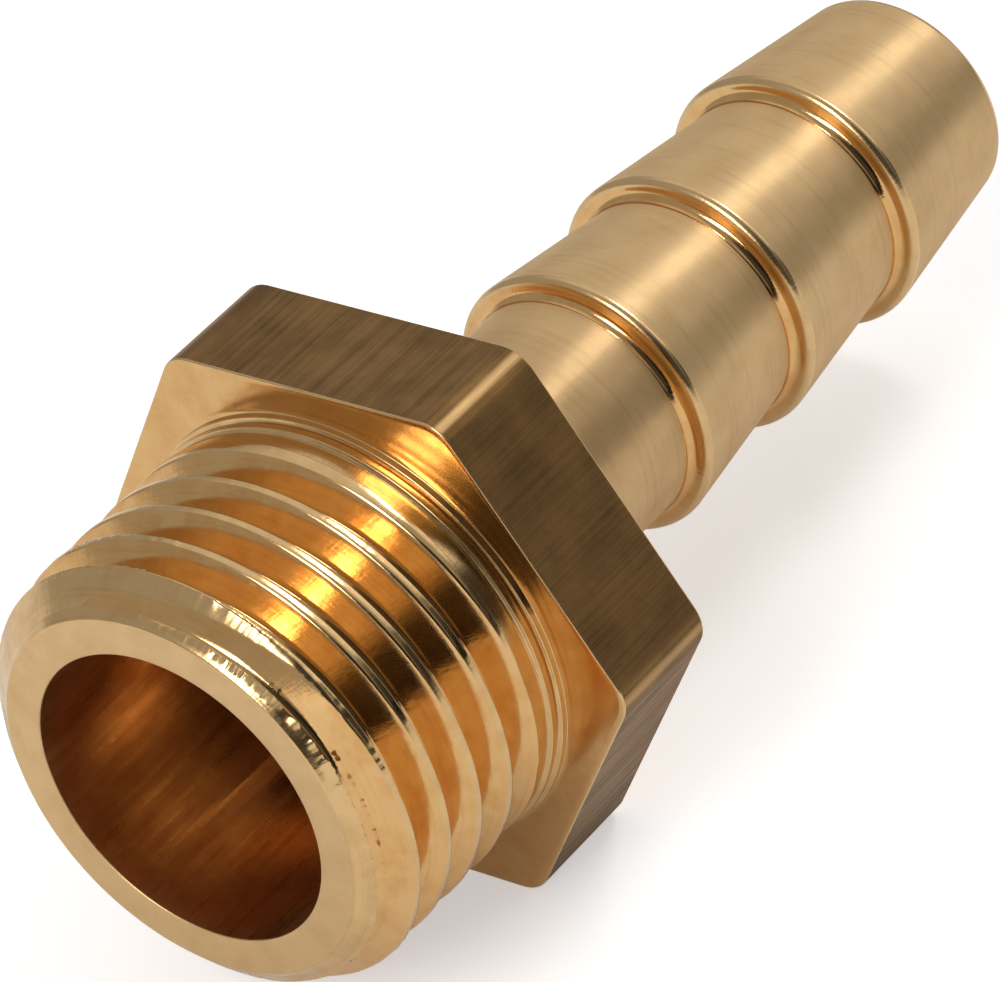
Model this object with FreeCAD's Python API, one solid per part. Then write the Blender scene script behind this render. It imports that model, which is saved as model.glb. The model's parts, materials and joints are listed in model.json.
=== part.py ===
"""Hose barb tail: one turned brass fitting, from male pipe thread to hose barbs.

The part is turned from drawn hexagon bar, so it is one solid on one axis. From the
thread's mouth to the hose end it has:
    a parallel pipe thread with a chamfered mouth and a run-out at its inner end,
    a plain land and two fine turned rings against the hexagon,
    the hexagon for the spanner, with the bar's own rounded corners,
    a plain neck and three barbs, each a cone that rises to a rounded shoulder,
    a wide drilled bore in the thread end, which necks down to the hose bore.

Frame: X runs along the axis towards the hose end. The origin is on the axis at the
hexagon's thread side, the face that seats on the port. Z is up, square to one flat of
the hexagon. Lengths are in millimetres and angles in degrees.
"""

import FreeCAD, Part
import math
import os

from FreeCAD import Vector

# Male thread, quarter inch parallel pipe size
thread_len = 7.65
thread_major_dia = 13.02
thread_pitch = 1.337
thread_angle = 55.0
runout_turn = 110.0
runout_end_angle = 264.0
mouth_chamfer = 0.94
mouth_chamfer_angle = 45.0

# Land and turned rings between the thread and the hexagon
land_len = 0.51
land_step = 0.09
ring_width = 0.20
ring_groove_width = 0.12
ring_groove_depth = 0.18
seat_ring_width = 0.20
seat_ring_rise = 0.09

# Hexagon
hex_across_flats = 15.0
hex_len = 3.6
hex_corner_radius = 1.0

# Hose end
hose_bore_dia = 6.0
neck_len = 6.8
neck_wall = 0.50
barb_root_wall = 0.47
barb_height = 0.61
first_barb_len = 5.0
second_barb_len = 5.3
tip_barb_len = 5.65
tip_wall = 0.37
tip_edge_radius = 0.3
shoulder_lip_radius = 0.22
shoulder_root_radius = 0.26

# Bore of the thread end
thread_root_wall = 1.25
thread_bore_depth = 7.4
drill_point_angle = 118.0

# Proportions of the thread form, as shares of the pitch
THREAD_HEIGHT = 0.960491
THREAD_DEPTH = 0.640327
THREAD_ROOT_RADIUS = 0.137329
CUTTER_PROUD = 0.1

RUNOUT_LIFT_SPARE = 0.08
PATH_STEP = 12.0
PATH_PIECE = 180.0
TANGENT_SHARE = 0.48
OVERRUN = 1.0

thread_depth = THREAD_DEPTH * thread_pitch
thread_major_radius = thread_major_dia / 2
thread_minor_radius = thread_major_radius - thread_depth
thread_bore_radius = thread_minor_radius - thread_root_wall
seat_radius = thread_major_radius + seat_ring_rise
shoulder_len = land_len + 2 * ring_groove_width + ring_width + seat_ring_width

hose_bore_radius = hose_bore_dia / 2
neck_radius = hose_bore_radius + neck_wall
barb_root_radius = hose_bore_radius + barb_root_wall
barb_top_radius = barb_root_radius + barb_height
tip_radius = hose_bore_radius + tip_wall
first_shoulder = hex_len + neck_len
second_shoulder = first_shoulder + first_barb_len
third_shoulder = second_shoulder + second_barb_len
tip_end = third_shoulder + tip_barb_len


def rounding(before, corner, after, radius):
    """Where a rounded corner starts, its middle and its end.

    A rounding that its two sides have no room for is made smaller.
    """
    to_before = (before - corner).normalize()
    to_after = (after - corner).normalize()
    half_turn = (math.pi - to_before.getAngle(to_after)) / 2
    room = TANGENT_SHARE * min((corner - before).Length, (after - corner).Length)
    reach = min(radius * math.tan(half_turn), room)
    fitted = reach / math.tan(half_turn)
    bulge = fitted / math.cos(half_turn) - fitted
    to_centre = (to_before + to_after).normalize()
    return corner + to_before * reach, corner + to_centre * bulge, corner + to_after * reach


def roundings(corners):
    """The (start, middle, end) of each (point, radius) corner of a closed outline."""
    rounded = []
    for index, (corner, radius) in enumerate(corners):
        before = corners[index - 1][0]
        after = corners[(index + 1) % len(corners)][0]
        if radius > 0:
            rounded.append(rounding(before, corner, after, radius))
        else:
            rounded.append((corner, corner, corner))
    return rounded


def arc_outline(corners):
    """A closed wire whose rounded corners are arcs."""
    rounded = roundings(corners)
    edges = []
    for index, (start, middle, end) in enumerate(rounded):
        following = rounded[(index + 1) % len(rounded)][0]
        edges.append(Part.Arc(start, middle, end).toShape())
        edges.append(Part.LineSegment(end, following).toShape())
    return Part.Wire(edges)


def turned(corners):
    """A solid of revolution about the axis, from (x, radius, corner radius) corners.

    Each rounded corner is turned as two short cones, which keeps the faces light.
    """
    section = [(Vector(x, 0, radius), corner) for x, radius, corner in corners]
    points = []
    for start, middle, end in roundings(section):
        points.append(start)
        if end != start:
            points.append(middle)
            points.append(end)
    face = Part.Face(Part.makePolygon(points + points[:1]))
    return face.revolve(Vector(0, 0, 0), Vector(1, 0, 0), 360)


def thread_end_corners():
    """The blank of the thread: chamfer, crest cylinder, land and rings."""
    chamfer_run = mouth_chamfer / math.tan(math.radians(mouth_chamfer_angle))
    land_radius = thread_major_radius - land_step
    ring_floor = thread_major_radius - ring_groove_depth
    land_end = -shoulder_len + land_len
    ring_start = land_end + ring_groove_width
    ring_end = ring_start + ring_width
    seat_start = ring_end + ring_groove_width
    return [
        (-thread_len, 0, 0),
        (-thread_len, thread_major_radius - mouth_chamfer, 0),
        (-thread_len + chamfer_run, thread_major_radius, 0),
        (-shoulder_len, thread_major_radius, 0),
        (-shoulder_len, land_radius, 0),
        (land_end, land_radius, 0),
        (land_end + ring_groove_width / 2, ring_floor, 0),
        (ring_start, thread_major_radius, 0),
        (ring_end, thread_major_radius, 0),
        (ring_end + ring_groove_width / 2, ring_floor, 0),
        (seat_start, seat_radius, 0),
    ]


def hose_end_corners():
    """The neck and the three barbs, from inside the hexagon to the tip."""
    return [
        (hex_len / 2, neck_radius, 0),
        (first_shoulder, neck_radius, shoulder_root_radius),
        (first_shoulder, barb_top_radius, shoulder_lip_radius),
        (second_shoulder, barb_root_radius, shoulder_root_radius),
        (second_shoulder, barb_top_radius, shoulder_lip_radius),
        (third_shoulder, barb_root_radius, shoulder_root_radius),
        (third_shoulder, barb_top_radius, shoulder_lip_radius),
        (tip_end, tip_radius, tip_edge_radius),
        (tip_end, 0, 0),
    ]


def turned_blank():
    """Everything that is turned on the outside, as one revolved outline."""
    inside_hexagon = [(hex_len / 2, seat_radius, 0)]
    return turned(thread_end_corners() + inside_hexagon + hose_end_corners())


def hexagon():
    """The length of hexagon bar that is left for the spanner, one flat facing up."""
    corner_distance = hex_across_flats / 2 / math.cos(math.radians(30))
    corners = []
    for index in range(6):
        angle = math.radians(30 + 60 * index)
        across = corner_distance * math.sin(angle)
        up = corner_distance * math.cos(angle)
        corners.append((Vector(0, across, up), hex_corner_radius))
    face = Part.Face(arc_outline(corners))
    return face.extrude(Vector(hex_len, 0, 0))


def on_helix(angle, lift):
    """The groove's root at an angle from the top, which advances to the hose end."""
    turn = math.radians(angle)
    x = -shoulder_len - thread_pitch * (runout_end_angle - angle) / 360
    radius = thread_minor_radius + lift
    return Vector(x, -radius * math.sin(turn), radius * math.cos(turn))


def groove_path():
    """The groove's root line and the angle where it starts, one pitch off the mouth.

    It lifts out of the metal in the run-out. It is made in short pieces, because a
    surface that winds over itself can't be cut out of the blank.
    """
    turns = (thread_len - shoulder_len) / thread_pitch + 1
    start_angle = runout_end_angle - 360 * turns
    lift_start = runout_end_angle - runout_turn
    full_lift = thread_depth + RUNOUT_LIFT_SPARE
    steps = math.ceil((runout_end_angle - start_angle) / PATH_STEP)
    points = []
    for index in range(steps + 1):
        angle = start_angle + (runout_end_angle - start_angle) * index / steps
        share = max(0, angle - lift_start) / runout_turn
        points.append(on_helix(angle, full_lift * share**2))
    curve = Part.BSplineCurve()
    curve.interpolate(points)
    count = math.ceil((runout_end_angle - start_angle) / PATH_PIECE)
    piece_len = (curve.LastParameter - curve.FirstParameter) / count
    pieces = []
    for index in range(count):
        first = curve.FirstParameter + piece_len * index
        pieces.append(Part.Edge(curve, first, first + piece_len))
    return Part.Wire(pieces), start_angle


def groove_section(angle):
    """The thread form's groove, in the plane of the axis at an angle from the top.

    The rounding of the root is two short flats.
    """
    half_angle = math.radians(thread_angle / 2)
    half_crest = THREAD_HEIGHT / 6 * math.tan(half_angle) * thread_pitch
    proud = CUTTER_PROUD * thread_pitch
    mouth_half = thread_pitch / 2 - half_crest + proud * math.tan(half_angle)
    mouth_rise = thread_depth + proud
    root_radius = THREAD_ROOT_RADIUS * thread_pitch
    flank_half = root_radius * math.cos(half_angle)
    flank_rise = root_radius * (1 - math.sin(half_angle))
    outline = [
        (-mouth_half, mouth_rise),
        (-flank_half, flank_rise),
        (0, 0),
        (flank_half, flank_rise),
        (mouth_half, mouth_rise),
    ]
    turn = math.radians(angle)
    outwards = Vector(0, -math.sin(turn), math.cos(turn))
    root = on_helix(angle, 0)
    points = [root + Vector(along, 0, 0) + outwards * rise for along, rise in outline]
    return Part.makePolygon(points + points[:1])


def thread_groove():
    """The solid that the threading tool takes away."""
    path, start_angle = groove_path()
    sweep = Part.BRepOffsetAPI.MakePipeShell(path)
    sweep.setBiNormalMode(Vector(1, 0, 0))
    sweep.add(groove_section(start_angle), False, False)
    sweep.build()
    sweep.makeSolid()
    return sweep.shape()


def bores():
    """The wide drilled bore of the thread end and the bore of the hose end."""
    drill_slope = math.tan(math.radians(drill_point_angle / 2))
    point_len = (thread_bore_radius - hose_bore_radius) / drill_slope
    wide_end = thread_bore_depth - thread_len
    return turned(
        [
            (-thread_len - OVERRUN, 0, 0),
            (-thread_len - OVERRUN, thread_bore_radius, 0),
            (wide_end, thread_bore_radius, 0),
            (wide_end + point_len, hose_bore_radius, 0),
            (tip_end + OVERRUN, hose_bore_radius, 0),
            (tip_end + OVERRUN, 0, 0),
        ]
    )


def hose_barb_tail():
    """The whole fitting: turned blank and hexagon, threaded and drilled."""
    blank = turned_blank().fuse(hexagon())
    drilled = blank.cut(bores())
    threaded = drilled.cut(thread_groove())
    return threaded.removeSplitter()


def main():
    os.makedirs("parts", exist_ok=True)
    fitting = hose_barb_tail()
    solid = fitting.Solids[0]
    print("solids", len(fitting.Solids), "valid", fitting.isValid())
    print("volume in cubic millimetres", round(solid.Volume, 1))
    print("centre of mass along the axis", round(solid.CenterOfMass.x, 2))
    solid.exportStep("parts/hose_barb_tail.step")


main()
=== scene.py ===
"""The looks of the hose barb tail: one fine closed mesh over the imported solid.

The whole fitting is one grid. Its rows follow the outline from the mouth, over the
thread, the hexagon and the barbs, and back through the bore. Its columns go round the
axis. The thread's rows climb one pitch in each turn, so that they lie along its crests.
Sizes are in millimetres, and the mesh is written in metres, in the frame's own axes.
"""

import json
import math

import bmesh
import bpy
import numpy as np
from mathutils import Matrix, Vector


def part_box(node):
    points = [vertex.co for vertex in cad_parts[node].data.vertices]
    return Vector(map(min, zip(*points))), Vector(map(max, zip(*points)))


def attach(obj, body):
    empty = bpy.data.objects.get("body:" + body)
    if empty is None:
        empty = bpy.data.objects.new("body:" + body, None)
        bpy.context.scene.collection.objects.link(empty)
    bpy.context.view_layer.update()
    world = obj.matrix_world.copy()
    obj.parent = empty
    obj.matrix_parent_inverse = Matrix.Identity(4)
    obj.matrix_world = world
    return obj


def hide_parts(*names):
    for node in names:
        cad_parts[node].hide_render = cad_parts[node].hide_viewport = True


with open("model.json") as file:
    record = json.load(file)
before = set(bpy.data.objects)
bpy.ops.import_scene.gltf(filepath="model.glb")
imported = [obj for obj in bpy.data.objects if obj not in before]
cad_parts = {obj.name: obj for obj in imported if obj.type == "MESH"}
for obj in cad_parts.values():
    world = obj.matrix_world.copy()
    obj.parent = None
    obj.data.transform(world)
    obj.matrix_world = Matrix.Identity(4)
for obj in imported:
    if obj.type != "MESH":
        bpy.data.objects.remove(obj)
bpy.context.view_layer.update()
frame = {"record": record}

MM = 0.001
NODE = "hose_barb_tail"

# What the frame gives: the reach along the axis, the flats and the two bores
LOW, HIGH = (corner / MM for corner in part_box(NODE))
MOUNTS = {mount["name"]: mount for mount in frame["record"]["mounts"]}
MOUTH_X = LOW.x
TIP_X = HIGH.x
HALF_FLATS = HIGH.z
WIDE_BORE_R = MOUNTS["thread_bore"]["dims"]["r_mm"]
WIDE_BORE_LEN = MOUNTS["thread_bore"]["dims"]["length_mm"]
HOSE_BORE_R = MOUNTS["hose_bore"]["dims"]["r_mm"]
HOSE_BORE_LEN = MOUNTS["hose_bore"]["dims"]["length_mm"]

# Thread, and the rim that stands a little lower than the mouth's chamfer
PITCH = 1.337
CREST_R = 6.51
FORM_HALF_ANGLE = math.radians(27.5)
FORM_DEPTH = 0.640327 * PITCH
ROOT_ROUND = 0.137329 * PITCH
ROOT_R = CREST_R - FORM_DEPTH
MOUTH_CHAMFER = 0.94
RIM_DROP = 0.105
RIM_END_X = -7.42
RIM_RISE = 0.15
RIM_EDGE_R = 0.10
RIM_R = CREST_R - MOUTH_CHAMFER - RIM_DROP
SHOULDER_X = -1.15
RUNOUT_END = 264.0
RUNOUT_TURN = 110.0

# Land and rings
LAND_R = 6.42
LAND_END_X = -0.64
RING_FLOOR_R = 6.33
RING_START_X = -0.52
RING_END_X = -0.32
SEAT_START_X = -0.20
SEAT_R = 6.60

# Hexagon
HEX_LEN = 3.6
HEX_CORNER_R = 1.0
HEX_EDGE_R = 0.05

# Hose end
NECK_R = 3.50
SHOULDERS_X = (10.4, 15.4, 20.7)
BARB_ROOT_R = 3.47
BARB_TOP_R = 4.08
TIP_R = 3.37
LIP_R = 0.22
ROOT_FILLET_R = 0.26
TIP_EDGE_R = 0.30

# How the thread's rows are laid out
THREAD_START_X = -7.60
THREAD_STOP_X = -0.80
FIRST_TURN = -6
LAST_TURN = 1
GROOVE_REACH = 0.62
GROOVE_SAMPLES = 249
GROOVE_BIRTH = 0.002
ROOT_NODES = (-0.20, -0.155, -0.08, 0.0, 0.08, 0.155, 0.20)
FLANK_SUPPORT = 0.03
SHOULDER_RAMP = 0.03
RUNOUT_SPARE = 0.08
CREST_ROUND = 0.03
CREST_DROP = 0.008
MERGE = 0.0008

# Burrs on the crests, by turn. The first one curls over the groove, most at BURR_SIDE
FIRST_CREST = -5
CREST_BURR = {-5: 0.13, -4: 0.022}
LEAST_BURR = 0.004
BURR_SIDE = 60.0
BURR_SPREAD = 0.88
BURR_LEAN = 0.06
BURR_REACH = 0.09
CURL_STEPS = (0.09, 0.05)
BURR_NOISE = ((0.5, 2, 11), (0.3, 5, 23))
NOISE_LIMIT = 1.6

# Small edges of the turned faces
MOUTH_EDGE_R = 0.05
NECK_FILLET_R = 0.10
RING_ROOT_R = 0.02
RING_EDGE_R = 0.03
HEX_FACE_MARGIN = 0.15
HEX_EDGE_STEPS = 3
SHARP_ANGLE = 85
FINISHES = [
    "bore", "face", "chamfer", "flank", "crest", "land", "ring", "hex_face",
    "edge", "flat", "hex_back", "neck", "shoulder", "lip", "tail",
]

# Columns round the axis: each sixth has these, closer together at the hexagon's corner
FLAT_COLUMNS = 13
CORNER_COLUMNS = 5
THREAD_SPLIT = 3


def coarse_angles():
    """Column angles in degrees, from the top flat's middle towards -Y."""
    tangent = HALF_FLATS * math.tan(math.radians(30)) - HEX_CORNER_R * math.tan(math.radians(30))
    edge = math.degrees(math.atan2(tangent, HALF_FLATS))
    half = [edge * i / FLAT_COLUMNS for i in range(FLAT_COLUMNS)]
    half += [edge + (30 - edge) * i / CORNER_COLUMNS for i in range(CORNER_COLUMNS)]
    sixth = half + [60 - a for a in reversed(half[1:])]
    sixth.insert(len(half), 30.0)
    return np.array([60 * k + a for k in range(6) for a in sixth])


def fine_angles(coarse):
    """The same columns with each step split, for the thread."""
    following = np.append(coarse[1:], 360.0)
    steps = np.arange(THREAD_SPLIT) / THREAD_SPLIT
    return (coarse[:, None] + (following - coarse)[:, None] * steps).ravel()


COARSE = coarse_angles()
FINE = fine_angles(COARSE)


def hexagon_radius(angles):
    """The hexagon's outline with rounded corners, at angles in degrees."""
    a = np.radians((angles + 30) % 60 - 30)
    flat = HALF_FLATS / np.cos(a)
    b = np.radians(30) - np.abs(a)
    centre = (HALF_FLATS - HEX_CORNER_R) / math.cos(math.radians(30))
    inside = HEX_CORNER_R**2 - (centre * np.sin(b)) ** 2
    corner = centre * np.cos(b) + np.sqrt(np.maximum(inside, 0))
    tangent = (HALF_FLATS - HEX_CORNER_R) * math.tan(math.radians(30))
    on_flat = HALF_FLATS * np.tan(np.abs(a)) < tangent
    return np.where(on_flat, flat, corner)


HEX_R = hexagon_radius(COARSE)


def arc_points(before, corner, after, radius, steps):
    """A rounded corner as points, from one tangent point to the other."""
    p, a, b = (np.array(v, float) for v in (corner, before, after))
    u = (a - p) / np.linalg.norm(a - p)
    v = (b - p) / np.linalg.norm(b - p)
    half = math.acos(np.clip(u @ v, -1, 1)) / 2
    reach = radius / math.tan(half)
    centre = p + (u + v) / np.linalg.norm(u + v) * radius / math.sin(half)
    start, end = p + u * reach - centre, p + v * reach - centre
    sweep = math.acos(np.clip(start @ end / radius**2, -1, 1))
    side = math.copysign(1, start[0] * end[1] - start[1] * end[0])
    points = []
    for i in range(steps + 1):
        t = side * sweep * i / steps
        turned = (
            start[0] * math.cos(t) - start[1] * math.sin(t),
            start[0] * math.sin(t) + start[1] * math.cos(t),
        )
        points.append((centre[0] + turned[0], centre[1] + turned[1]))
    return points


def turned_path(corners):
    """(x, r, finish) rows through (x, r, radius, steps, its finish, the next finish)."""
    path = []
    count = len(corners)
    for index, (x, r, radius, steps, own, following) in enumerate(corners):
        if radius == 0:
            path.append((x, r, following))
            continue
        before, after = corners[index - 1][:2], corners[(index + 1) % count][:2]
        arc = arc_points(before, (x, r), after, radius, steps)
        path += [(px, pr, own) for px, pr in arc[:-1]]
        path.append((*arc[-1], following))
    return path


class Grid:
    """Rows of points round the axis, each with the finish of the strip after it."""

    def __init__(self):
        self.points = []
        self.rows = []
        self.faces = []
        self.finishes = []

    def row(self, x, r, finish, angles):
        """Adds a row; x and r are numbers, or arrays with a value for each column."""
        a = np.radians(angles)
        x = np.broadcast_to(np.asarray(x, float), a.shape)
        first = len(self.points)
        self.points += list(zip(x, -r * np.sin(a), r * np.cos(a)))
        self.rows.append((first, len(a), finish))

    def path(self, corners, angles):
        for x, r, finish in turned_path(corners):
            self.row(x, r, finish, angles)

    def face(self, corners, finish):
        self.faces.append(corners)
        self.finishes.append(finish)

    def strip(self, upper, lower, seam=None):
        """Joins two rows. seam gives the two rows that they meet at the seam, or None."""
        first, count, finish = self.rows[upper]
        second, other, _ = self.rows[lower]
        start, end = seam or (upper, lower)
        if count == other:
            for j in range(count - 1):
                self.face((first + j, first + j + 1, second + j + 1, second + j), finish)
            last = count - 1
            if end < len(self.rows):
                corners = (first + last, self.rows[start][0], self.rows[end][0], second + last)
                self.face(corners, finish)
        elif count < other:
            self.fan(first, second, count, finish, False)
        else:
            self.fan(second, first, other, finish, True)

    def fan(self, coarse, fine, count, finish, fine_first):
        """Joins a coarse row to a fine one, THREAD_SPLIT steps to each step."""
        total = count * THREAD_SPLIT
        for j in range(count):
            near, far = coarse + j, coarse + (j + 1) % count
            run = [fine + (j * THREAD_SPLIT + k) % total for k in range(THREAD_SPLIT + 1)]
            corners = [(near, run[1], run[0]), (near, far, run[1])]
            corners += [(far, b, a) for a, b in zip(run[1:], run[2:])]
            for c in corners:
                self.face(c[::-1] if fine_first else c, finish)

    def mesh(self, name, slots):
        """The closed mesh, with the rows that fall together merged."""
        mesh = bpy.data.meshes.new(name)
        mesh.from_pydata(np.array(self.points) * MM, [], self.faces)
        mesh.polygons.foreach_set("material_index", [slots.index(f) for f in self.finishes])
        work = bmesh.new()
        work.from_mesh(mesh)
        bmesh.ops.remove_doubles(work, verts=work.verts, dist=MERGE * MM)
        bmesh.ops.dissolve_degenerate(work, edges=work.edges, dist=MERGE * MM / 4)
        work.to_mesh(mesh)
        work.free()
        return mesh


def groove_radius(offset, lift):
    """The thread form's radius at an offset along the axis from the groove's root."""
    u = np.abs(offset)
    flank_from = ROOT_ROUND * math.cos(FORM_HALF_ANGLE)
    arc = ROOT_ROUND - np.sqrt(np.maximum(ROOT_ROUND**2 - u**2, 0))
    rise = ROOT_ROUND * (1 - math.sin(FORM_HALF_ANGLE))
    flank = rise + (u - flank_from) / math.tan(FORM_HALF_ANGLE)
    return ROOT_R + lift + np.where(u < flank_from, arc, flank)


def blank_radius(x):
    """The turned blank under the thread: rim, chamfer, crest cylinder, step and land."""
    rise = RIM_DROP * np.clip((x - RIM_END_X) / RIM_RISE, 0, 1)
    chamfer = RIM_R + (x - MOUTH_X) + rise
    step = (x - SHOULDER_X) / SHOULDER_RAMP
    shoulder = CREST_R + (LAND_R - CREST_R) * np.clip(step, 0, 1)
    return np.minimum(chamfer, shoulder)


def smooth_noise(count, width, seed):
    """A run of seeded numbers about 0, smoothed over about width of them."""
    rng = np.random.default_rng(seed)
    raw = rng.uniform(-1, 1, count + 4 * width)
    kernel = np.hanning(width + 2)[1:-1]
    kernel /= math.sqrt((kernel**2).sum())
    smooth = np.convolve(raw, kernel, "same")[2 * width : 2 * width + count]
    return np.clip(smooth, -NOISE_LIMIT, NOISE_LIMIT)


def groove_edges(turn):
    """Where one turn of the groove cuts the blank: its two edges, root and lift."""
    angle = FINE + 360 * turn
    root = SHOULDER_X - PITCH * (RUNOUT_END - angle) / 360
    share = np.clip((angle - RUNOUT_END + RUNOUT_TURN) / RUNOUT_TURN, 0, None)
    lift = (FORM_DEPTH + RUNOUT_SPARE) * share**2
    samples = np.linspace(-GROOVE_REACH, GROOVE_REACH, GROOVE_SAMPLES)
    x = root[:, None] + samples
    depth = groove_radius(samples, lift[:, None]) - blank_radius(x)
    depth[(x < THREAD_START_X) | (x > THREAD_STOP_X)] = 1
    lowest = depth.argmin(1)
    edges = []
    for way, last in ((-1, 0), (1, GROOVE_SAMPLES - 1)):
        edge = root.copy()
        for j, k in enumerate(lowest):
            if depth[j, k] > -GROOVE_BIRTH:
                edge[j] = x[j, k]
                continue
            while k != last and depth[j, k] < 0:
                k += way
            edge[j] = x[j, k]
            if depth[j, k] > 0:
                t = depth[j, k] / (depth[j, k] - depth[j, k - way])
                edge[j] += t * (x[j, k - way] - x[j, k])
        edges.append(np.clip(edge, THREAD_START_X, THREAD_STOP_X))
    return *edges, root, lift


def thread_rows(grid):
    """The thread, whose rows climb one pitch a turn. Returns how many rows make a pitch."""
    columns = len(FINE)
    cells = range(FIRST_TURN, LAST_TURN + 1)
    grooves = [groove_edges(turn) for turn in cells]
    starts = [groove[0] for groove in grooves] + [np.full(columns, THREAD_STOP_X)]
    corner_x = MOUTH_X + MOUTH_CHAMFER
    step_end = SHOULDER_X + SHOULDER_RAMP
    marks = (
        RIM_END_X, RIM_END_X + RIM_RISE, corner_x - CREST_ROUND, corner_x + CREST_ROUND,
        SHOULDER_X - SHOULDER_RAMP / 2, SHOULDER_X, step_end, step_end + SHOULDER_RAMP / 2,
    )
    total = columns * len(cells)
    burr = sum(part * smooth_noise(total, width, seed) for part, width, seed in BURR_NOISE)
    side = np.maximum(np.cos(np.radians(FINE - BURR_SIDE)), 0)
    first_row = len(grid.rows)
    for index, turn in enumerate(cells):
        a, b, root, lift = grooves[index]
        after = starts[index + 1]
        curls = turn == FIRST_CREST
        here = slice(index * columns, (index + 1) * columns)
        height = CREST_BURR.get(turn, LEAST_BURR) * np.maximum(1 + burr[here], 0.1)
        if curls:
            height *= 1 - BURR_SPREAD + BURR_SPREAD * side
        wide = after - b > (CREST_ROUND if curls else 3 * CREST_ROUND)
        burr_up = np.where(wide & (b > a) & (not curls), height / 2, 0)
        next_up = np.where(wide & (after < THREAD_STOP_X), height, 0)
        inner = [np.clip(root + offset, a, b) for offset in ROOT_NODES]
        upper = np.clip(a + FLANK_SUPPORT, a, inner[0])
        lower = np.clip(b - FLANK_SUPPORT, inner[-1], b)
        for x in (a, upper, *inner, lower):
            r = np.minimum(groove_radius(x - root, lift), blank_radius(x))
            grid.row(x, r, "flank", FINE)
        edge = np.minimum(CREST_ROUND, (after - b) / 3)
        low, high = b + edge, after - edge
        finish = "chamfer" if curls else "crest"
        grid.row(b, blank_radius(b) - CREST_DROP * (b > a), finish, FINE)
        across = [low, high, *(np.clip(mark, low, high) for mark in marks)]
        across += [np.maximum(high - step, low) for step in CURL_STEPS]
        for x in np.sort(across, axis=0):
            share = (x - low) / np.maximum(high - low, MERGE)
            lean = 0
            if curls:
                share = np.clip(1 - (high - x) / BURR_REACH, 0, 1) ** 2
                lean = BURR_LEAN * share * side
            lift_up = burr_up + share * (next_up - burr_up)
            grid.row(x + lean, blank_radius(x) + lift_up, finish, FINE)
    return (len(grid.rows) - first_row) // len(cells)


def mouth_rows(grid):
    """The mouth's face and its two edges, up to the foot of the rim."""
    bore_edge = (MOUTH_X, WIDE_BORE_R)
    inside, outwards = (MOUTH_X + 1, WIDE_BORE_R), (MOUTH_X, WIDE_BORE_R + 1)
    for x, r in arc_points(inside, bore_edge, outwards, MOUTH_EDGE_R, 3):
        grid.row(x, r, "face", COARSE)
    grid.row(MOUTH_X, WIDE_BORE_R + 0.4 * (RIM_R - WIDE_BORE_R), "face", COARSE)
    grid.row(MOUTH_X, WIDE_BORE_R + 0.6 * (RIM_R - WIDE_BORE_R), "face", FINE)
    rim_end = (MOUTH_X + 1, RIM_R + 1)
    rim = arc_points((MOUTH_X, WIDE_BORE_R), (MOUTH_X, RIM_R), rim_end, RIM_EDGE_R, 4)
    for x, r in rim:
        grid.row(x, r, "chamfer", FINE)


def land_rows(grid):
    """The land, the two turned rings and the seat ring, up to the hexagon's face."""
    grid.path(
        [
            (THREAD_STOP_X + 0.02, LAND_R, 0, 0, "", "land"),
            (LAND_END_X, LAND_R, RING_ROOT_R, 2, "ring", "ring"),
            ((LAND_END_X + RING_START_X) / 2, RING_FLOOR_R, RING_ROOT_R, 2, "ring", "ring"),
            (RING_START_X, CREST_R, RING_EDGE_R, 3, "ring", "ring"),
            (RING_END_X, CREST_R, RING_EDGE_R, 3, "ring", "ring"),
            ((RING_END_X + SEAT_START_X) / 2, RING_FLOOR_R, RING_ROOT_R, 2, "ring", "ring"),
            (SEAT_START_X, SEAT_R, RING_EDGE_R, 3, "ring", "ring"),
            (0, SEAT_R, RING_ROOT_R, 2, "ring", "hex_face"),
            (0, SEAT_R + HEX_FACE_MARGIN, 0, 0, "", "hex_face"),
        ],
        FINE,
    )


def hexagon_rows(grid):
    """The hexagon's two faces, its edges and its drawn sides."""
    inner = SEAT_R + HEX_FACE_MARGIN
    outer = HEX_R - HEX_EDGE_R - HEX_FACE_MARGIN
    steps = range(HEX_EDGE_STEPS + 1)
    for share in (0.4, 1.0):
        grid.row(0, inner + share * (outer - inner), "hex_face", COARSE)
    for step in steps:
        turn = math.pi / 2 * step / HEX_EDGE_STEPS
        x, r = HEX_EDGE_R * (1 - math.cos(turn)), HEX_R - HEX_EDGE_R * (1 - math.sin(turn))
        grid.row(x, r, "flat" if step == HEX_EDGE_STEPS else "edge", COARSE)
    for share in (0.04, 0.35, 0.65, 0.96):
        grid.row(HEX_LEN * share, HEX_R, "flat", COARSE)
    for step in steps:
        turn = math.pi / 2 * step / HEX_EDGE_STEPS
        x = HEX_LEN - HEX_EDGE_R * (1 - math.sin(turn))
        r = HEX_R - HEX_EDGE_R * (1 - math.cos(turn))
        grid.row(x, r, "hex_back" if step == HEX_EDGE_STEPS else "edge", COARSE)
    inner = NECK_R + HEX_FACE_MARGIN
    for share in (1.0, 0.6, 0.25):
        grid.row(HEX_LEN, inner + share * (outer - inner), "hex_back", COARSE)


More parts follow.
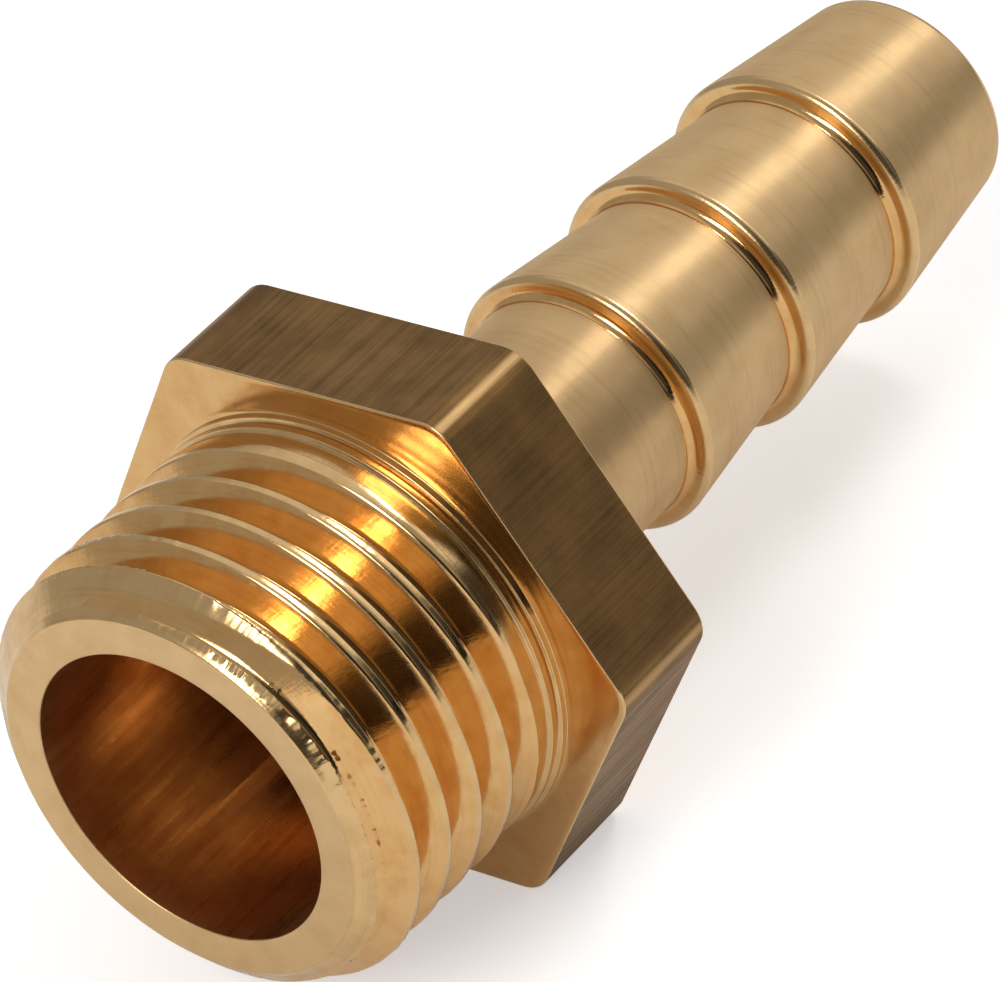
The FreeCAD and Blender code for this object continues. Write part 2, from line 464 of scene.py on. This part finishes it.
def hose_end_rows(grid):
    """The neck, the three barbs, the tip and both bores, back to the mouth."""
    corners = [(HEX_LEN, NECK_R + HEX_FACE_MARGIN, 0, 0, "", "hex_back")]
    corners.append((HEX_LEN, NECK_R, NECK_FILLET_R, 3, "neck", "neck"))
    foot = NECK_R
    for x in SHOULDERS_X:
        corners.append((x, foot, ROOT_FILLET_R, 6, "shoulder", "shoulder"))
        corners.append((x, BARB_TOP_R, LIP_R, 8, "lip", "tail"))
        foot = BARB_ROOT_R
    drill_end = TIP_X - HOSE_BORE_LEN
    corners += [
        (TIP_X, TIP_R, TIP_EDGE_R, 6, "lip", "face"),
        (TIP_X, HOSE_BORE_R, MOUTH_EDGE_R, 2, "face", "bore"),
        (drill_end, HOSE_BORE_R, MOUTH_EDGE_R, 2, "bore", "bore"),
        (MOUTH_X + WIDE_BORE_LEN, WIDE_BORE_R, MOUTH_EDGE_R, 2, "bore", "bore"),
        (MOUTH_X + 1, WIDE_BORE_R, 0, 0, "", "bore"),
    ]
    grid.path(corners, COARSE)


def fitting_mesh():
    grid = Grid()
    mouth_rows(grid)
    thread_first = len(grid.rows)
    per_pitch = thread_rows(grid)
    thread_last = len(grid.rows) - 1
    for upper in range(thread_first, thread_last):
        grid.strip(upper, upper + 1, (upper + per_pitch, upper + 1 + per_pitch))
    land_rows(grid)
    hexagon_rows(grid)
    hose_end_rows(grid)
    total = len(grid.rows)
    for upper in range(total):
        if not thread_first <= upper < thread_last:
            grid.strip(upper, (upper + 1) % total)
    return grid.mesh("fitting", FINISHES)


class Nodes:
    """A short way to write a node tree: each call adds a node and links its inputs."""

    def __init__(self, tree):
        self.tree = tree
        tree.nodes.clear()

    def add(self, kind, inputs=None, **settings):
        node = self.tree.nodes.new(kind)
        for key, value in settings.items():
            setattr(node, key, value)
        for key, value in (inputs or {}).items():
            if isinstance(value, bpy.types.NodeSocket):
                self.tree.links.new(value, node.inputs[key])
            else:
                node.inputs[key].default_value = value
        return node

    def math(self, operation, *values):
        inputs = dict(enumerate(values))
        return self.add("ShaderNodeMath", inputs, operation=operation).outputs[0]

    def scaled(self, vector, scale):
        inputs = {0: vector, 1: scale}
        return self.add("ShaderNodeVectorMath", inputs, operation="MULTIPLY").outputs[0]

    def noise(self, vector, scale, detail=2.0, roughness=0.5):
        """Noise from 0 to 1 whose grain is 1 / scale units of the vector."""
        inputs = {"Vector": vector, "Scale": scale, "Detail": detail, "Roughness": roughness}
        return self.add("ShaderNodeTexNoise", inputs).outputs["Fac"]

    def ramp(self, value, low, high, first=0.0, last=1.0):
        inputs = {0: value, 1: low, 2: high, 3: first, 4: last}
        return self.add("ShaderNodeMapRange", inputs, clamp=True).outputs[0]

    def mix(self, share, first, last):
        node = self.add("ShaderNodeMix", data_type="RGBA")
        for key, value in ((0, share), (6, first), (7, last)):
            if isinstance(value, bpy.types.NodeSocket):
                self.tree.links.new(value, node.inputs[key])
            else:
                node.inputs[key].default_value = value
        return node.outputs[2]

    def bump(self, height, distance, strength=1.0, normal=None):
        inputs = {"Height": height, "Distance": distance * MM, "Strength": strength}
        if normal is not None:
            inputs["Normal"] = normal
        return self.add("ShaderNodeBump", inputs).outputs[0]


def rgb(colour):
    return (*colour, 1.0)


# How fast turning lines and drawn lines change along their own way, to a millimetre
TURNED_PACE = 0.22
DRAWN_PACE = 0.15


class Metal:
    """A brass finish in the making: its coordinates in millimetres and its patterns."""

    def __init__(self, name):
        self.material = bpy.data.materials.new(name)
        self.material.use_nodes = True
        self.nodes = Nodes(self.material.node_tree)
        place = self.nodes.add("ShaderNodeTexCoord").outputs["Object"]
        self.place = self.nodes.scaled(place, (1 / MM, 1 / MM, 1 / MM))
        self.x, self.y, self.z = self.nodes.add("ShaderNodeSeparateXYZ", {0: self.place}).outputs
        across = self.nodes.scaled(self.place, (0, 1, 1))
        length = self.nodes.add("ShaderNodeVectorMath", {0: across}, operation="LENGTH")
        self.r = length.outputs["Value"]
        unit = self.nodes.add("ShaderNodeVectorMath", {0: across}, operation="NORMALIZE")
        self.round = unit.outputs[0]
        self.shade = 0.0
        self.glint_mask = None
        self.normal = None

    def vector(self, x, y, z):
        return self.nodes.add("ShaderNodeCombineXYZ", {0: x, 1: y, 2: z}).outputs[0]

    def times(self, value, factor):
        return self.nodes.math("MULTIPLY", value, factor)

    def clouds(self, scale, detail=4.0):
        """Patches of any direction, scale to a millimetre."""
        return self.nodes.noise(self.place, scale, detail, 0.6)

    def turned(self, scale, detail=3.0):
        """Turning lines round the axis, scale to a millimetre, which fade in and out."""
        slow = self.times(self.nodes.math("ADD", self.y, self.z), TURNED_PACE)
        where = self.vector(self.times(self.x, scale), self.times(self.r, scale), slow)
        return self.nodes.noise(where, 1.0, detail, 0.65)

    def drawn(self, scale, detail=4.0):
        """Lines along the axis, scale to a millimetre."""
        along = self.nodes.scaled(self.place, (DRAWN_PACE, scale, scale))
        return self.nodes.noise(along, 1.0, detail, 0.65)

    def ticks(self, count, stretch, detail=2.0):
        """Chatter marks across the turning lines, about count in a radian."""
        around = self.nodes.scaled(self.round, (0, count, count))
        shift = self.vector(self.times(self.x, stretch), self.times(self.r, stretch), 0.0)
        where = self.nodes.add("ShaderNodeVectorMath", {0: around, 1: shift}, operation="ADD")
        return self.nodes.noise(where.outputs[0], 1.0, detail, 0.6)

    def dull(self, pattern, low, high, amount):
        """Shifts the tone towards the dulled metal where the pattern is high."""
        share = self.nodes.ramp(pattern, low, high, 0.0, amount)
        self.shade = self.nodes.math("ADD", self.shade, share)

    def paint_corner_glint(self, low, full):
        """Paints a highlight: takes the tone to bright brass at radii from low to full."""
        glint_mask = self.nodes.ramp(self.r, low, full, 1.0, 0.0)
        self.shade = self.nodes.math("MULTIPLY", self.shade, glint_mask)
        self.glint_mask = self.nodes.math("SUBTRACT", 1.0, glint_mask)

    def raise_by(self, pattern, depth):
        """Lifts the surface by the pattern, depth in millimetres."""
        self.normal = self.nodes.bump(pattern, depth, 1.0, self.normal)

    def finish(self, clean, dulled, roughness, anisotropy=0.0, metallic=1.0):
        """roughness is (pattern, least, most). Grooves run round the axis."""
        pattern, least, most = roughness
        colour = self.nodes.mix(self.shade, rgb(clean), rgb(dulled))
        # Where a highlight is painted, the colour goes towards bright brass
        if self.glint_mask is not None:
            colour = self.nodes.mix(self.glint_mask, colour, rgb(BRIGHT[0]))
        inputs = {
            "Base Color": colour,
            "Metallic": metallic,
            "Roughness": self.nodes.ramp(pattern, 0.3, 0.7, least, most),
        }
        if self.normal is not None:
            inputs["Normal"] = self.normal
        if anisotropy:
            tangent = self.nodes.add("ShaderNodeTangent", direction_type="RADIAL", axis="X")
            inputs["Tangent"] = tangent.outputs[0]
            inputs["Anisotropic"] = anisotropy
            inputs["Anisotropic Rotation"] = 0.25
        shader = self.nodes.add("ShaderNodeBsdfPrincipled", inputs)
        self.nodes.add("ShaderNodeOutputMaterial", {"Surface": shader.outputs[0]})
        return self.material


# Radii over which a painted highlight, a thin line of bright brass, runs along each hexagon
# corner's apex
GLINT_FROM = 8.49
GLINT_FULL = 8.52

# Brass in each state: clean and dulled
BRIGHT = (0.74, 0.49, 0.23), (0.55, 0.33, 0.13)
SATIN = (0.74, 0.50, 0.245), (0.60, 0.39, 0.18)
TURNED = (0.80, 0.54, 0.26), (0.62, 0.40, 0.18)
GROOVE = (0.76, 0.47, 0.20), (0.62, 0.30, 0.09)
DRAWN = (0.31, 0.172, 0.061), (0.13, 0.071, 0.026)
DRILLED = (0.80, 0.47, 0.20), (0.55, 0.26, 0.09)


def polished(name, tones, least, most, depth=0.0012, anisotropy=0.0):
    """Bright turned brass with fine lines and chatter marks."""
    metal = Metal(name)
    patch = metal.clouds(1.1)
    lines = metal.turned(11.0)
    ticks = metal.ticks(34.0, 1.5)
    metal.dull(patch, 0.42, 0.66, 0.45)
    metal.dull(lines, 0.5, 0.75, 0.35)
    metal.raise_by(lines, depth)
    metal.raise_by(ticks, depth * 2)
    metal.raise_by(metal.clouds(7.0), depth)
    return metal.finish(*tones, (patch, least, most), anisotropy)


def satin(name, tones, least, most, depth=0.004, anisotropy=0.98, metallic=0.55):
    """Turned brass with close feed marks, which spread the light along the axis."""
    metal = Metal(name)
    patch = metal.clouds(0.8)
    lines = metal.turned(6.5)
    fine = metal.turned(17.0)
    metal.dull(patch, 0.42, 0.70, 0.35)
    metal.dull(lines, 0.52, 0.72, 0.45)
    metal.raise_by(lines, depth)
    metal.raise_by(fine, depth / 3)
    metal.raise_by(metal.clouds(9.0), depth / 3)
    return metal.finish(*tones, (patch, least, most), anisotropy, metallic)


def faced(name, tones, least, most, depth=0.002):
    """A faced end with faint rings and a fine grain."""
    metal = Metal(name)
    patch = metal.clouds(0.9)
    lines = metal.turned(8.0)
    grain = metal.clouds(12.0)
    metal.dull(patch, 0.42, 0.68, 0.4)
    metal.dull(grain, 0.5, 0.75, 0.3)
    metal.raise_by(lines, depth / 2)
    metal.raise_by(grain, depth)
    return metal.finish(*tones, (patch, least, most))


def drawn(name, tones, least, most, depth=0.004):
    """The bar's own drawn skin on the flats: streaks along the axis and dark patches, with a
    painted highlight along the corners.
    """
    metal = Metal(name)
    patch = metal.clouds(0.6)
    streaks = metal.drawn(5.0)
    fine = metal.drawn(28.0)
    metal.dull(patch, 0.38, 0.66, 0.45)
    metal.dull(streaks, 0.42, 0.64, 0.35)
    metal.dull(fine, 0.46, 0.64, 0.4)
    # A painted highlight: a thin line of bright brass along each corner's apex
    metal.paint_corner_glint(GLINT_FROM, GLINT_FULL)
    metal.raise_by(streaks, depth)
    metal.raise_by(fine, depth / 3)
    metal.raise_by(metal.clouds(10.0), depth / 3)
    return metal.finish(*tones, (streaks, least, most))


def drilled(name, tones, least, most, depth=0.004):
    """The bore: drill marks round the axis, crossed by streaks along it."""
    metal = Metal(name)
    patch = metal.clouds(0.7)
    streaks = metal.drawn(3.0)
    lines = metal.turned(5.0)
    metal.dull(patch, 0.40, 0.66, 0.5)
    metal.dull(streaks, 0.42, 0.66, 0.6)
    metal.raise_by(lines, depth)
    metal.raise_by(streaks, depth)
    return metal.finish(*tones, (streaks, least, most))


def finishes():
    """The material of each finish of the mesh."""
    bright = polished("brass_bright", BRIGHT, 0.10, 0.22)
    rim = polished("brass_rim", BRIGHT, 0.14, 0.26, 0.002)
    groove = polished("brass_groove", GROOVE, 0.08, 0.18)
    lip = polished("brass_lip", SATIN, 0.18, 0.30)
    tail = satin("brass_satin", TURNED, 0.40, 0.49)
    face = faced("brass_faced", SATIN, 0.36, 0.48)
    hex_face = faced("brass_hex_face", GROOVE, 0.12, 0.24, 0.0004)
    flat = drawn("brass_drawn", DRAWN, 0.40, 0.60)
    bore = drilled("brass_drilled", DRILLED, 0.22, 0.42)
    return {
        "bore": bore, "face": face, "chamfer": rim, "flank": groove,
        "crest": bright, "land": bright, "ring": bright, "hex_face": hex_face,
        "edge": lip, "flat": flat, "hex_back": hex_face, "neck": tail,
        "shoulder": groove, "lip": lip, "tail": tail,
    }


def fitting():
    """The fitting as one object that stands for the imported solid."""
    mesh = fitting_mesh()
    looks = finishes()
    for finish in FINISHES:
        mesh.materials.append(looks[finish])
    mesh.shade_smooth()
    mesh.set_sharp_from_angle(angle=math.radians(SHARP_ANGLE))
    piece = bpy.data.objects.new("fitting", mesh)
    bpy.context.scene.collection.objects.link(piece)
    modifier = piece.modifiers.new("shading", "WEIGHTED_NORMAL")
    modifier.keep_sharp = True
    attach(piece, "root")
    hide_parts(NODE)
    return piece


# Camera, measured from the hexagon, the mouth and the axis in the photograph
CAMERA_AT = (-96.92, -94.37, 97.08)
CAMERA_TOWARDS = (6.428, -0.046, -0.045)
CAMERA_ROLL = math.radians(12.134)
CAMERA_LENS = 231.90

# The floor, and how much it is lifted towards white for the camera and in reflections
FLOOR_SIZE = 1.6
FLOOR_TONE = (0.85, 0.85, 0.85)
FLOOR_LIFT = 0.48
FLOOR_GLOSS_LIFT = 0.15


def camera():
    data = bpy.data.cameras.new("camera")
    data.lens = CAMERA_LENS
    data.sensor_width = 36
    data.clip_start = 0.01
    data.clip_end = 10
    eye, target = Vector(CAMERA_AT) * MM, Vector(CAMERA_TOWARDS) * MM
    turn = (target - eye).to_track_quat("-Z", "Y").to_matrix().to_4x4()
    rig = bpy.data.objects.new("camera", data)
    rig.matrix_world = Matrix.Translation(eye) @ turn @ Matrix.Rotation(-CAMERA_ROLL, 4, "Z")
    bpy.context.scene.collection.objects.link(rig)
    bpy.context.scene.camera = rig


def floor():
    mesh = bpy.data.meshes.new("floor")
    half = FLOOR_SIZE / 2
    low = LOW.z * MM
    corners = [(-half, -half, low), (half, -half, low), (half, half, low), (-half, half, low)]
    mesh.from_pydata(corners, [], [(0, 1, 2, 3)])
    material = bpy.data.materials.new("floor")
    material.use_nodes = True
    nodes = Nodes(material.node_tree)
    rays = nodes.add("ShaderNodeLightPath").outputs
    mirrored = nodes.math("MAXIMUM", rays["Is Glossy Ray"], rays["Is Transmission Ray"])
    seen = nodes.math("MULTIPLY", rays["Is Camera Ray"], FLOOR_LIFT)
    mirrored = nodes.math("MULTIPLY", mirrored, FLOOR_GLOSS_LIFT)
    seen = nodes.math("ADD", seen, mirrored)
    matt = nodes.add("ShaderNodeBsdfDiffuse", {"Color": rgb(FLOOR_TONE)})
    lift = nodes.add("ShaderNodeEmission", {"Strength": seen})
    both = nodes.add("ShaderNodeAddShader", {0: matt.outputs[0], 1: lift.outputs[0]})
    nodes.add("ShaderNodeOutputMaterial", {"Surface": both.outputs[0]})
    mesh.materials.append(material)
    ground = bpy.data.objects.new("floor", mesh)
    bpy.context.scene.collection.objects.link(ground)


# The studio's level by direction: the plain level, then soft regions that add to it or
# take from it, each with its direction, half width and soft edge in degrees
AMBIENT = 0.52
BRIGHT_REGIONS = [((0.50, 0.22, 0.83), 14.0, 26.0, 0.45), ((0.74, -0.42, 0.53), 13.0, 10.0, 0.85)]
DARK_REGIONS = [
    ((0.57, -0.80, 0.20), 12.0, 10.0, 0.88),
    ((-0.34, -0.82, 0.42), 27.0, 8.0, 0.85),
    ((-0.81, -0.50, 0.28), 14.0, 6.0, 0.92),
]
# A dark strip low over the floor on the -Y side: heights of its edges, and its depth
HORIZON = (0.11, 0.22)
HORIZON_DEPTH = 0.80


def studio():
    """A plain grey room with soft lighter and darker areas, and a dark strip on its -Y side."""
    world = bpy.data.worlds.new("studio")
    world.use_nodes = True
    nodes = Nodes(world.node_tree)
    way = nodes.add("ShaderNodeTexCoord").outputs["Generated"]

    def region(direction, half_width, soft, amount):
        aim = {0: way, 1: Vector(direction).normalized()}
        dot = nodes.add("ShaderNodeVectorMath", aim, operation="DOT_PRODUCT").outputs["Value"]
        low = math.cos(math.radians(half_width + soft))
        return nodes.ramp(dot, low, math.cos(math.radians(half_width)), 0.0, amount)

    level = AMBIENT
    for entry in BRIGHT_REGIONS:
        level = nodes.math("ADD", region(*entry), level)
    for entry in DARK_REGIONS:
        level = nodes.math("MULTIPLY", nodes.math("SUBTRACT", 1.0, region(*entry)), level)
    height, side = (nodes.add("ShaderNodeSeparateXYZ", {0: way}).outputs[k] for k in (2, 1))
    strip = nodes.ramp(height, *HORIZON, HORIZON_DEPTH, 0.0)
    strip = nodes.math("MULTIPLY", strip, nodes.ramp(side, -0.5, -0.2, 1.0, 0.0))
    level = nodes.math("MULTIPLY", nodes.math("SUBTRACT", 1.0, strip), level)
    back = nodes.add("ShaderNodeBackground", {"Strength": level})
    nodes.add("ShaderNodeOutputWorld", {"Surface": back.outputs[0]})
    bpy.context.scene.world = world


# Soft boxes: name, direction from the fitting, distance, width, height and level
LAMPS = [
    ("key", (0.56, -0.20, 0.80), 0.40, 0.13, 0.05, 13.0),
    ("front", (-0.78, -0.11, 0.62), 0.40, 0.12, 0.26, 7.0),
]


def lamps():
    for name, direction, distance, width, height, level in LAMPS:
        data = bpy.data.lights.new(name, "AREA")
        data.shape = "RECTANGLE"
        data.size = width
        data.size_y = height
        data.energy = level * math.pi * width * height
        lamp = bpy.data.objects.new(name, data)
        way = Vector(direction).normalized()
        lamp.location = way * distance
        lamp.rotation_euler = way.to_track_quat("Z", "Y").to_euler()
        bpy.context.scene.collection.objects.link(lamp)


camera()
fitting()
floor()
studio()
lamps()
bpy.context.scene.view_settings.view_transform = "Standard"
